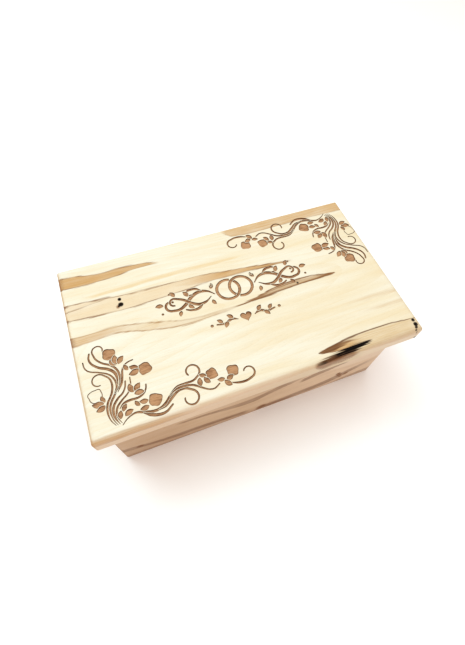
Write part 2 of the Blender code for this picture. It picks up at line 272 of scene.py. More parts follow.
def vine():
    """The corner spray: stems sweeping up and along from one root, with leaves and blooms."""
    up_stems = [
        stem([(22, 8.6), (19, 14), (18, 21), (19.5, 28), (24, 35), (26, 42), (25, 48.5), (20.5, 53.4)], 1.5,
             (1, 5.9, 250)),
        stem([(23.6, 8.4), (21, 14), (20.2, 21), (22, 27.5), (26.6, 34), (29.4, 40.5), (28.6, 47),
              (25, 52.4), (18, 56.6), (11, 59.8), (7.8, 64), (7.2, 70)], 1.5),
        stem([(30.4, 41), (31.2, 47), (30, 52.6), (25.5, 57.2), (19, 60.8), (14, 65.8), (12.4, 71),
              (13.8, 76.5)], 2.1),
        stem([(26.5, 34.3), (31.6, 40), (33.6, 47), (32.6, 54), (28.7, 59.6), (22.5, 63.8), (18, 69),
              (16.2, 75)], 1.6, (-1, 5.1, 225)),
        stem([(29, 34.6), (33.4, 41), (35.4, 47), (36.6, 52), (39, 56), (42.8, 58), (47.4, 58.8)], 1.6),
        stem([(25.2, 8.6), (22.8, 14), (22.2, 19), (23.6, 24.5), (27.6, 29.2), (32.4, 32.6), (35.4, 37),
              (36.8, 42.6)], 1.7),
        stem([(26.8, 9), (24.8, 13.5), (24.4, 18), (26.4, 23), (31, 27.2), (36.6, 31.4), (40, 37),
              (41, 44.6)], 1.4),
        stem([(27.4, 20.6), (31, 23.8), (36.5, 24.9), (43, 24.7), (48, 26.5), (50.8, 30), (52, 34.2)], 1.7),
    ]
    along_stems = [
        stem([(26.8, 7.2), (31.5, 11), (38, 13.3), (44, 12), (50, 10), (57, 10), (63, 13), (69, 18.5),
              (75, 22.8), (82, 23.4), (89, 23.6), (94, 26.2)], 2.0, (1, 6.5, 285)),
        stem([(44, 11), (49.5, 7.6), (56, 5.6), (62, 6.2), (68.4, 10.4)], 2.2),
        stem([(56, 9.2), (62.6, 10.4), (68.6, 15.2), (75, 19.2), (81.5, 19.2), (87, 15.8)], 1.8,
             (-1, 6.8, 262)),
        stem([(67, 17.8), (74, 21), (81, 21.4), (88, 19.8), (94, 15.4), (99, 12), (104, 11.2),
              (109.4, 14)], 1.7),
        stem([(116, 12.2), (124, 9.2), (131, 8.6), (137, 10.2)], 1.7, (1, 5.6, 240)),
    ]
    leaves = [leaf(*spec) for spec in (
        (33.4, 58.4, 128, 7.6), (33.8, 58.6, 92, 9), (34.4, 58.4, 48, 8.4),
        (41.6, 50.4, 112, 6.6), (50.4, 50.6, 160, 8), (50.2, 49.2, 196, 9.4),
        (41.2, 30, 104, 8.6), (42.2, 29.8, 52, 8.4), (40.6, 28.6, 358, 8.4),
        (18.2, 29.4, 112, 6.4), (17.4, 29.4, 172, 9.6), (17.8, 27.4, 200, 8.2),
        (29.2, 17.2, 52, 6.6), (26.6, 11.8, 78, 7), (29.8, 13.2, 24, 8),
        (43.6, 17.6, 122, 6), (51, 20.2, 172, 7.4), (50.4, 15.6, 186, 7.6),
        (101.4, 24.4, 158, 6.4), (94, 16.2, 82, 7.6), (102.6, 16.8, 122, 7.4),
        (115.2, 16.6, 172, 6.6), (115.4, 13.6, 26, 7.6), (119, 8.8, 128, 7.8),
    )]
    blooms = [blossom(*spec) for spec in (
        (29, 70, 5.2, 72), (54.6, 47.8, 5.2, -76), (55.8, 18.4, 5.2, 66), (105.4, 24.2, 4.7, 12),
        (123.2, 21, 4.9, 80),
    )]
    return up_stems + along_stems + blooms + leaves + [open_blossom(11.6, 37, 5.2, 100)]


def turned_vine():
    """The same spray turned half round for the far corner."""
    far = np.array([307.6, 165.5])
    return [stroke._replace(outline=far - stroke.outline, core=far - stroke.core) for stroke in vine()]


def ring_arc(x, y, radius, width, start, sweep):
    """Part of a plain round band, left open where another band crosses over it."""
    a = np.radians(np.linspace(start, start + sweep, 72))
    path = np.column_stack([x + radius * np.cos(a), y + radius * np.sin(a)])
    half = np.full(len(path), width / 2)
    return Stroke(ribbon(path, half), ribbon(path, half * 0.5), LEAF_SINGE, CLEARANCE)


def heart(x, y, size):
    """A small plain heart, point down."""
    a = np.linspace(0, math.tau, 30, endpoint=False)
    across = 16 * np.sin(a) ** 3
    up = 13 * np.cos(a) - 5 * np.cos(2 * a) - 2 * np.cos(3 * a) - np.cos(4 * a)
    outline = np.column_stack([-across, up + 2]) * size / 32
    return Stroke(outline + (x, y), outline * 0.72 + (x, y), 0.0, CLEARANCE)


def dot(x, y, radius):
    a = np.linspace(0, math.tau, 16, endpoint=False)
    outline = np.column_stack([np.cos(a), np.sin(a)]) * radius
    return Stroke(outline + (x, y), outline * 0.6 + (x, y), LEAF_SINGE, CLEARANCE)


def scroll():
    """Scrollwork for the right of the rings, from their centre outwards."""
    return [
        stem([(20, -1), (26, 4.5), (34, 6.2), (42, 3), (49, -3), (56, -6.6), (63, -6)], 2.9, (1, 5.6, 230)),
        stem([(24, -2), (30, -6), (37, -7), (43.5, -3.6), (50, 2.4), (57, 6)], 2.5, (-1, 4.4, 220),
             gap=CLEARANCE),
        stem([(31, 7), (36, 10.6), (42, 11)], 2.1, (-1, 3.4, 220), gap=CLEARANCE),
        stem([(34, -8), (39.6, -11), (46, -10.8), (51, -8.4)], 2.2, gap=CLEARANCE),
        leaf(44.6, 4, 62, 7.4), leaf(47, -3.6, 232, 6.6), leaf(56.6, 7.6, 62, 7), leaf(54.4, -8.2, 296, 6),
        leaf(68.6, 1.6, 8, 7.6), leaf(22.6, 5.4, 112, 6.8), leaf(24.4, -5.6, 250, 6.2), dot(20.6, 9.6, 1.1),
        dot(72, -6.6, 1.2), dot(61, 12, 1.1),
    ]


def mirrored(stroke):
    """A stroke turned over to the left of the centre, its outlines still anticlockwise."""
    return stroke._replace(outline=(stroke.outline * (-1, 1))[::-1], core=(stroke.core * (-1, 1))[::-1])


def middle_motif():
    """Two linked rings between scrolls, and a heart between two fine sprigs below."""
    rings = [
        ring_arc(-6.4, 0, 10.9, 2.9, 66, 340), ring_arc(6.4, 0, 10.9, 2.9, -114, 340),
    ]
    right = scroll()
    sprig = [
        stem([(8, 0), (14, 2), (21, -0.6), (29, 0.6)], 2.2), leaf(12, 1.8, 48, 7), leaf(17, 1, 308, 7),
        leaf(22.4, 0.2, 46, 6.4), dot(33, 0.8, 1.5),
    ]
    above = rings + right + [mirrored(stroke) for stroke in right]
    below = [heart(0, 0, 11)] + sprig + [mirrored(stroke) for stroke in sprig]
    return [moved(stroke, (155, 99.5)) for stroke in above] + [moved(stroke, (154, 66)) for stroke in below]


def grown(outline, gap):
    """An anticlockwise outline pushed outwards."""
    along = np.roll(outline, -1, axis=0) - np.roll(outline, 1, axis=0)
    outwards = np.column_stack([along[:, 1], -along[:, 0]]) / np.linalg.norm(along, axis=1)[:, None]
    return outline + gap * outwards


# ---------------------------------------------------------------------------------------------
# Lid
# One 19 mm board of ambrosia maple. Its top edges are run over a 6 mm round-over bit and the
# rest is eased with sandpaper. Two seats are cut in its underside for the hinge leaves.

LID_ROUNDOVER = 6 * MM
LID_CORNER = 2.4 * MM
LID_EASING = 0.8 * MM
ROUND_STEPS = 9
ENGRAVING_DEPTH = 0.8 * MM
BURNT_WIDTH = 0.7
POCKET_SINGE = 0.3
HOLE_DEPTH = 3 * MM
SEAT_GAP = 0.3 * MM
SEAT_DEPTH = 1.7 * MM
PILOT_RADIUS = 1.3 * MM
PILOT_DEPTH = 9.8 * MM
LEAF_WIDTH = 9.7 * MM
SCREW_PITCH = 13 * MM
SCREW_STAGGER = 1.2 * MM
CORNER_STEPS = 5
SHARPEST = math.radians(32)
ON_OUTLINE = 0.001 * MM

lid_low, lid_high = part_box("lid_board")


def rounded_plan(low, high, inset, corner):
    """A rectangle's outline with round corners, drawn in by some distance, anticlockwise."""
    radius = corner - inset
    left, right, front, back = low.x + inset, high.x - inset, low.y + inset, high.y - inset
    corners = ((right, back, 0), (left, back, 1), (left, front, 2), (right, front, 3))
    if radius <= 0.01 * MM:
        return [(x, y) for x, y, _ in corners]
    points = []
    for x, y, quarter in corners:
        x -= radius * (1 if quarter in (0, 3) else -1)
        y -= radius * (1 if quarter in (0, 1) else -1)
        for i in range(CORNER_STEPS + 1):
            a = (quarter + i / CORNER_STEPS) * math.pi / 2
            points.append((x + radius * math.cos(a), y + radius * math.sin(a)))
    return points


def rounding(steps):
    """Places round a quarter circle of radius 1, from below: how far in from the side, how far up."""
    turns = [i / steps * math.pi / 2 for i in range(steps + 1)]
    return [(1 - math.sin(a), 1 - math.cos(a)) for a in turns]


def lid_inset(x, y):
    """How far a point of the lid's plan lies inside its outline."""
    a = min(x - lid_low.x, lid_high.x - x)
    b = min(y - lid_low.y, lid_high.y - y)
    inset = min(a, b)
    if a < LID_CORNER and b < LID_CORNER:
        inset = LID_CORNER - math.hypot(LID_CORNER - a, LID_CORNER - b)
    return inset if inset > ON_OUTLINE else 0


def lid_height(x, y):
    """The height of the lid's upper surface, round-over included."""
    run = max(LID_ROUNDOVER - lid_inset(x, y), 0)
    return lid_high.z - LID_ROUNDOVER + math.sqrt(max(LID_ROUNDOVER**2 - run**2, 0))


def prism(rings):
    """A closed body through a stack of level outlines, each (points, height), lowest first."""
    bm = bmesh.new()
    loops = [[bm.verts.new((x, y, z)) for x, y in points] for points, z in rings]
    for lower, upper in zip(loops, loops[1:]):
        for i in range(len(lower)):
            j = (i + 1) % len(lower)
            bm.faces.new((lower[i], lower[j], upper[j], upper[i]))
    bm.faces.new(loops[0][::-1])
    bm.faces.new(loops[-1])
    return bm


def block(low, high):
    bm = bmesh.new()
    low, high = Vector(low), Vector(high)
    stretch = Matrix.Diagonal((*(high - low), 1))
    bmesh.ops.create_cube(bm, size=1, matrix=Matrix.Translation((low + high) / 2) @ stretch)
    return bm


def to_object(name, bm, *materials):
    mesh = bpy.data.meshes.new(name)
    bm.to_mesh(mesh)
    bm.free()
    obj = bpy.data.objects.new(name, mesh)
    bpy.context.scene.collection.objects.link(obj)
    for material in materials:
        mesh.materials.append(material)
    return obj


def cut_away(bm, cutters, operation="DIFFERENCE"):
    """The bmesh after Booleans with each cutter bmesh."""
    work = to_object("work", bm)
    tools = [to_object("tool", cutter) for cutter in cutters]
    for tool in tools:
        boolean = work.modifiers.new("cut", "BOOLEAN")
        boolean.operation = operation
        boolean.object = tool
    evaluated = work.evaluated_get(bpy.context.evaluated_depsgraph_get())
    result = bmesh.new()
    result.from_mesh(evaluated.to_mesh())
    evaluated.to_mesh_clear()
    for obj in tools + [work]:
        bpy.data.objects.remove(obj)
    return result


def cylinder(centre, radius, length, sides=24):
    bm = bmesh.new()
    bmesh.ops.create_cone(bm, cap_ends=True, segments=sides, radius1=radius, radius2=radius, depth=length,
                          matrix=Matrix.Translation(centre))
    return bm


def screw_places(side):
    """Where a leaf's three screws stand, in plan, the middle one nearer the barrel."""
    low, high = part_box(f"{side}_hinge_lid_leaf")
    for i, shift in ((-1, -SCREW_STAGGER), (0, SCREW_STAGGER), (1, -SCREW_STAGGER)):
        yield (low.x + high.x) / 2 + i * SCREW_PITCH, lid_high.y - LEAF_WIDTH / 2 + shift


def hinge_seats(face, up):
    """Cutters for both leaves' seats and screw holes, in a face of the lid (up 1) or back wall (up -1)."""
    cutters = []
    for side in ("left", "right"):
        low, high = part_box(f"{side}_hinge_lid_leaf")
        ends = sorted((face - up * MM, face + up * SEAT_DEPTH))
        cutters.append(block((low.x - SEAT_GAP, low.y - SEAT_GAP, ends[0]),
                             (high.x + SEAT_GAP, lid_high.y + MM, ends[1])))
        for x, y in screw_places(side):
            cutters.append(cylinder((x, y, face + up * PILOT_DEPTH / 2), PILOT_RADIUS, PILOT_DEPTH))
    return cutters


def lid_blank():
    """The board up to where its round-over starts, with the seats for the two hinge leaves."""
    eased = [(rounded_plan(lid_low, lid_high, LID_EASING * x, LID_CORNER), lid_low.z + LID_EASING * y)
             for x, y in rounding(3)]
    top = lid_high.z - LID_ROUNDOVER
    bm = prism(eased + [(rounded_plan(lid_low, lid_high, 0, LID_CORNER), top)])
    bm = cut_away(bm, hinge_seats(lid_low.z, 1))
    caps = [f for f in bm.faces if f.normal.z > 0.9 and abs(f.calc_center_median().z - top) < 1e-6]
    bmesh.ops.delete(bm, geom=caps, context="FACES_ONLY")
    return bm


def top_sheet(bm, engraved, holes):
    """Adds the lid's upper surface: round-over and flat, the pattern sunk in it and beetle holes bored.

    The outlines are laid together in plan and triangulated. The stroke laid last wins, so one with a gap,
    which is laid over a wider outline, keeps a thin line of wood standing between it and the others.
    Material 0 is the plain surface, 1 a pocket's floor, 2 its walls and 3 a beetle hole.
    """
    coords, edges, faces, sunk, singes = [], [], [], set(), {}

    def lay(points, as_face):
        first = len(coords)
        coords.extend(Vector((float(x), float(y))) for x, y in points)
        loop = list(range(first, len(coords)))
        if as_face:
            faces.append(loop)
        else:
            edges.extend(zip(loop, loop[1:] + loop[:1]))
        return loop

    lay(rounded_plan(lid_low, lid_high, 0, LID_CORNER), True)
    for i in range(1, ROUND_STEPS + 1):
        a = i / ROUND_STEPS * math.pi / 2
        lay(rounded_plan(lid_low, lid_high, LID_ROUNDOVER * (1 - math.cos(a)), LID_CORNER), False)
    lay(rounded_plan(lid_low, lid_high, LID_ROUNDOVER + 0.4 * MM, LID_CORNER), False)
    corner = np.array([lid_low.x, lid_low.y])
    for stroke in engraved:
        if stroke.gap:
            lay(corner + grown(stroke.outline, stroke.gap) * MM, True)
            beyond = grown(stroke.outline, stroke.gap + BURNT_WIDTH)
            singes.update(dict.fromkeys(lay(corner + beyond * MM, False), LEAF_SINGE))
        sunk.add(len(faces))
        lay(corner + stroke.outline * MM, True)
        singes.update(dict.fromkeys(lay(corner + stroke.core * MM, False), stroke.singe))
    first_hole = len(faces)
    for outline in holes:
        lay(corner + outline * MM, True)

    points, _, triangles, point_from, _, face_from = delaunay_2d_cdt(coords, edges, faces, 1, 1e-7)
    depths = []
    for owners in face_from:
        if any(owner >= first_hole for owner in owners):
            depths.append(HOLE_DEPTH)
        else:
            depths.append(ENGRAVING_DEPTH if owners and max(owners) in sunk else 0.0)
    rim = {i for triangle, depth in zip(triangles, depths) if not depth for i in triangle}

    char = bm.verts.layers.float.new("char")
    made = {}

    def vertex(i, depth):
        if (i, depth) not in made:
            x, y = points[i]
            made[i, depth] = bm.verts.new((x, y, lid_height(x, y) - depth))
            singe = min((singes.get(j, POCKET_SINGE) for j in point_from[i]), default=POCKET_SINGE)
            made[i, depth][char] = 1.0 if i in rim else singe
        return made[i, depth]

    sides = {}
    for triangle, depth in zip(triangles, depths):
        face = bm.faces.new([vertex(i, depth) for i in triangle])
        face.material_index = {0.0: 0, ENGRAVING_DEPTH: 1, HOLE_DEPTH: 3}[depth]
        face.smooth = not depth
        for i, j in zip(triangle, triangle[1:] + triangle[:1]):
            sides[i, j] = depth
    for (i, j), depth in sides.items():
        other = sides.get((j, i), depth)
        if depth > other:
            corners = [vertex(j, depth), vertex(i, depth), vertex(i, other), vertex(j, other)]
            wall = bm.faces.new(corners)
            wall.material_index = 3 if depth == HOLE_DEPTH else 2
            for edge in wall.edges:
                edge.smooth = False


BEETLE_HOLES = (
    (50, 121.6, 1.35), (50.2, 115.8, 1.9), (48.0, 114.6, 1.0), (298.6, 11.2, 1.15), (298.4, 6.4, 1.3),
)


def hole_outline(x, y, radius):
    """A bored hole's slightly uneven rim."""
    a = np.linspace(0, math.tau, 18, endpoint=False)
    r = radius * (1 + 0.08 * np.cos(2 * a + x) + 0.05 * np.cos(3 * a + y))
    return np.column_stack([x + r * np.cos(a), y + r * np.sin(a)])


# ---------------------------------------------------------------------------------------------
# Maple
# Ambrosia maple, sanded and given a thin satin lacquer: cream sapwood with long tan streaks that
# run out from the beetles' galleries, each one bounded by a thin brown line.

PALE = (0.745, 0.71, 0.595)
CREAM = (0.705, 0.595, 0.40)
HONEY = (0.67, 0.50, 0.27)
TAN = (0.50, 0.285, 0.105)
PINKISH = (0.66, 0.50, 0.31)
BROWN = (0.22, 0.095, 0.035)
BLACK = (0.0035, 0.0015, 0.0007)
SPAN_LOW, SPAN_HIGH = -40, 220
RING_SPACING = 3.1
RING_SWAY = 30.0
PITH_ACROSS = 100.0
PITH_BELOW = 55.0
PITH_DRIFT = 0.05
END_STAIN = (0.74, 0.56, 0.37)
NO_END = 1e4

# A streak lies between an upper and a lower line of (along, across) places. Its rim is a darker line
# on both, fade is how far its two ends take to vanish, and patchy and ragged make it uneven.
Streak = namedtuple("Streak", "upper lower tone strength rim rim_tone rim_width soft fade patchy ragged",
                    defaults=(TAN, 0.8, 0.0, BROWN, 1.05, 0.5, (0, 12), 0.22, 0.6))


def band(places, *look, **finish):
    """A streak given by (along, lower, upper)."""
    upper, lower = [(u, high) for u, _, high in places], [(u, low) for u, low, _ in places]
    return Streak(upper, lower, *look, **finish)


def mixed(tree, share, first, second, blend="MIX"):
    node = add(tree, "Mix", data_type="RGBA", blend_type=blend)
    for number, value in ((0, share), (6, first), (7, second)):
        if isinstance(value, bpy.types.NodeSocket):
            tree.links.new(value, node.inputs[number])
        else:
            node.inputs[number].default_value = (*value, 1) if number else value
    return node.outputs[2]


def between(tree, value, low, high, start=0.0, end=1.0):
    """Eases from start to end as the value goes from low to high."""
    links = {0: value, 1: low, 2: high, 3: start, 4: end}
    return add(tree, "MapRange", links, interpolation_type="SMOOTHSTEP").outputs[0]


def noise(tree, across, size, detail=2.0, roughness=0.5):
    """Noise drawn out along the board. Size is its grain along, across and through, in millimetres."""
    parts = [maths(tree, "DIVIDE", value, step) for value, step in zip(across, size)]
    vector = add(tree, "CombineXYZ", enumerate(parts)).outputs[0]
    links = {"Vector": vector, "Scale": 1.0, "Detail": detail, "Roughness": roughness}
    return add(tree, "TexNoise", links).outputs["Fac"]


def board_places(tree, corner, order):
    """Millimetres along the grain, across the face and through the board, from one corner of it."""
    place = add(tree, "TexCoord").outputs["Object"]
    steps = [1 / MM] * 3
    shift = [-value / MM for value in corner]
    mapped = add(tree, "Mapping", {"Vector": place, "Location": shift, "Scale": steps}).outputs[0]
    split = add(tree, "SeparateXYZ", {0: mapped}).outputs
    return [split["XYZ".index(axis)] for axis in order]


def placed_line(tree, share, points):
    """A height across the board that passes through placed points, given along its streak."""
    curve = add(tree, "FloatCurve", {"Value": share})
    line = curve.mapping.curves[0]
    start, end = points[0][0], points[-1][0]
    spots = [((u - start) / (end - start), (v - SPAN_LOW) / (SPAN_HIGH - SPAN_LOW)) for u, v in points]
    line.points[0].location, line.points[1].location = spots[0], spots[-1]
    for spot in spots[1:-1]:
        line.points.new(*spot)
    curve.mapping.update()
    return maths(tree, "MULTIPLY_ADD", curve.outputs[0], SPAN_HIGH - SPAN_LOW, SPAN_LOW)


def paint_streak(tree, colour, along, across, vary, threads, streak):
    """Lays one streak over the colour."""
    soft, ragged, strength, rim = streak.soft, streak.ragged, streak.strength, streak.rim
    (appearing, vanishing), patchy = streak.fade, streak.patchy
    start, end = streak.upper[0][0], streak.upper[-1][0]
    share = maths(tree, "DIVIDE", maths(tree, "SUBTRACT", along, start), end - start, clamp=True)
    across = maths(tree, "ADD", across, between(tree, threads, 0.3, 0.7, -ragged, ragged))
    over = maths(tree, "SUBTRACT", across, placed_line(tree, share, streak.lower))
    under = maths(tree, "SUBTRACT", placed_line(tree, share, streak.upper), across)
    inside = maths(tree, "MULTIPLY", between(tree, over, -soft, soft), between(tree, under, -soft, soft))
    ends = between(tree, along, end - vanishing, end, 1.0, 0.0)
    if appearing:
        ends = maths(tree, "MULTIPLY", ends, between(tree, along, start, start + appearing))
    depth = maths(tree, "MULTIPLY", inside, ends)
    for unevenness in (between(tree, vary, 0.3, 0.65, strength * (1 - patchy), strength),
                       between(tree, threads, 0.36, 0.6, 1 - 1.3 * patchy, 1.0)):
        depth = maths(tree, "MULTIPLY", depth, unevenness)
    colour = mixed(tree, depth, colour, streak.tone)
    if not rim:
        return colour
    nearest = maths(tree, "MINIMUM", maths(tree, "ABSOLUTE", over), maths(tree, "ABSOLUTE", under))
    edge = maths(tree, "MULTIPLY", between(tree, nearest, 0.0, streak.rim_width, 1.0, 0.0), ends)
    edge = maths(tree, "MULTIPLY", edge, between(tree, vary, 0.35, 0.6, 0.45 * rim, rim))
    held = maths(tree, "MULTIPLY", between(tree, over, -2, -0.5), between(tree, under, -2, -0.5))
    return mixed(tree, maths(tree, "MULTIPLY", edge, held), colour, streak.rim_tone)


def growth_rings(tree, places, sway):
    """Thin darker lines where the board cuts the tree's rings: arcs at its ends, flames on its faces."""
    u, v, w = places
    level = maths(tree, "MULTIPLY_ADD", sway, RING_SWAY, maths(tree, "SUBTRACT", v, PITH_ACROSS))
    below = maths(tree, "MULTIPLY_ADD", u, PITH_DRIFT, maths(tree, "ADD", w, PITH_BELOW))
    out = maths(tree, "SQRT", maths(tree, "ADD", maths(tree, "MULTIPLY", level, level),
                                    maths(tree, "MULTIPLY", below, below)))
    turn = maths(tree, "FRACT", maths(tree, "DIVIDE", out, RING_SPACING))
    return maths(tree, "POWER", turn, 3.0)


def maple_figure(tree, corner, order, streaks, stains, tilt, base, length):
    """The wood's colour, its fine grain and its slow ripple."""
    u, v, w = places = board_places(tree, corner, order)
    sway = noise(tree, places, (130, 40, 40), 1.0)
    ripple = noise(tree, places, (26, 7, 7), 3.0)
    threads = noise(tree, places, (48, 0.9, 0.9), 3.0, 0.6)
    fine = noise(tree, places, (14, 0.45, 0.45), 3.0, 0.6)
    flecks = noise(tree, places, (2.6, 0.6, 0.6), 1.0)
    broad = noise(tree, places, (140, 15, 30), 2.0)
    rings = growth_rings(tree, places, sway)

    share = maths(tree, "MULTIPLY_ADD", u, 0.0012, between(tree, broad, 0.3, 0.7, 0.0, 0.65), clamp=True)
    colour = mixed(tree, share, *base)
    ringed = maths(tree, "MULTIPLY", rings, between(tree, ripple, 0.3, 0.7, 0.10, 0.34))
    colour = mixed(tree, ringed, colour, HONEY)
    colour = mixed(tree, between(tree, threads, 0.52, 0.74, 0.0, 0.30), colour, HONEY)
    slanted = maths(tree, "MULTIPLY_ADD", w, tilt, v)
    uneven = maths(tree, "MULTIPLY_ADD", ripple, 2.6, maths(tree, "SUBTRACT", slanted, 1.3))
    for streak in streaks:
        colour = paint_streak(tree, colour, u, uneven, ripple, threads, streak)
    flat = add(tree, "CombineXYZ", {0: u, 1: slanted}).outputs[0]
    for x, y, inner, outer, shade, tone in stains:
        away = add(tree, "VectorMath", {0: flat, 1: (x, y, 0)}, operation="DISTANCE").outputs["Value"]
        away = maths(tree, "MULTIPLY_ADD", ripple, 2.0, maths(tree, "SUBTRACT", away, 1.0))
        colour = mixed(tree, between(tree, away, inner, outer, shade, 0.0), colour, tone)
    near_end = maths(tree, "MINIMUM", u, maths(tree, "SUBTRACT", length, u))
    thirsty = between(tree, maths(tree, "MULTIPLY_ADD", ripple, 2.0, near_end), 1.8, 4.0, 0.85, 0.0)
    colour = mixed(tree, thirsty, colour, mixed(tree, 1.0, colour, END_STAIN, "MULTIPLY"))
    grain = maths(tree, "MULTIPLY_ADD", fine, 0.18, 0.91)
    grain = maths(tree, "MULTIPLY", grain, between(tree, flecks, 0.30, 0.42, 0.94, 1.0))
    grey = add(tree, "CombineColor", dict(enumerate([grain] * 3))).outputs[0]
    return mixed(tree, 1.0, colour, grey, "MULTIPLY"), fine, ripple


def lacquered_maple(name, corner, order, streaks, stains=(), tilt=0.3, base=(PALE, CREAM), length=NO_END):
    material, tree, shader = new_material(name)
    colour, fine, ripple = maple_figure(tree, corner, order, streaks, stains, tilt, base, length)
    tree.links.new(colour, shader.inputs["Base Color"])
    tree.links.new(between(tree, ripple, 0.2, 0.8, 0.38, 0.52), shader.inputs["Roughness"])
    shader.inputs["Specular IOR Level"].default_value = 0.06
    bump = add(tree, "Bump", {"Height": fine, "Distance": 0.03 * MM, "Strength": 0.5})
    tree.links.new(bump.outputs[0], shader.inputs["Normal"])
    return material


RUSSET = (0.33, 0.165, 0.06)
CHESTNUT = (0.4, 0.225, 0.088)
SEPIA = (0.16, 0.07, 0.026)
DULL_HONEY = (0.57, 0.4, 0.205)
BLUSH = (0.83, 0.7, 0.53)
WALNUT = (0.14, 0.058, 0.022)
DARK_WALNUT = (0.14, 0.055, 0.02)
RUST = (0.21, 0.08, 0.026)
SOOT = (0.1, 0.04, 0.015)
FRONT_ROUNDOVER_SHADE = (0.62, 0.42, 0.25)
EDGE_GRAIN_AND_SHADE = (0.77, 0.555, 0.385)

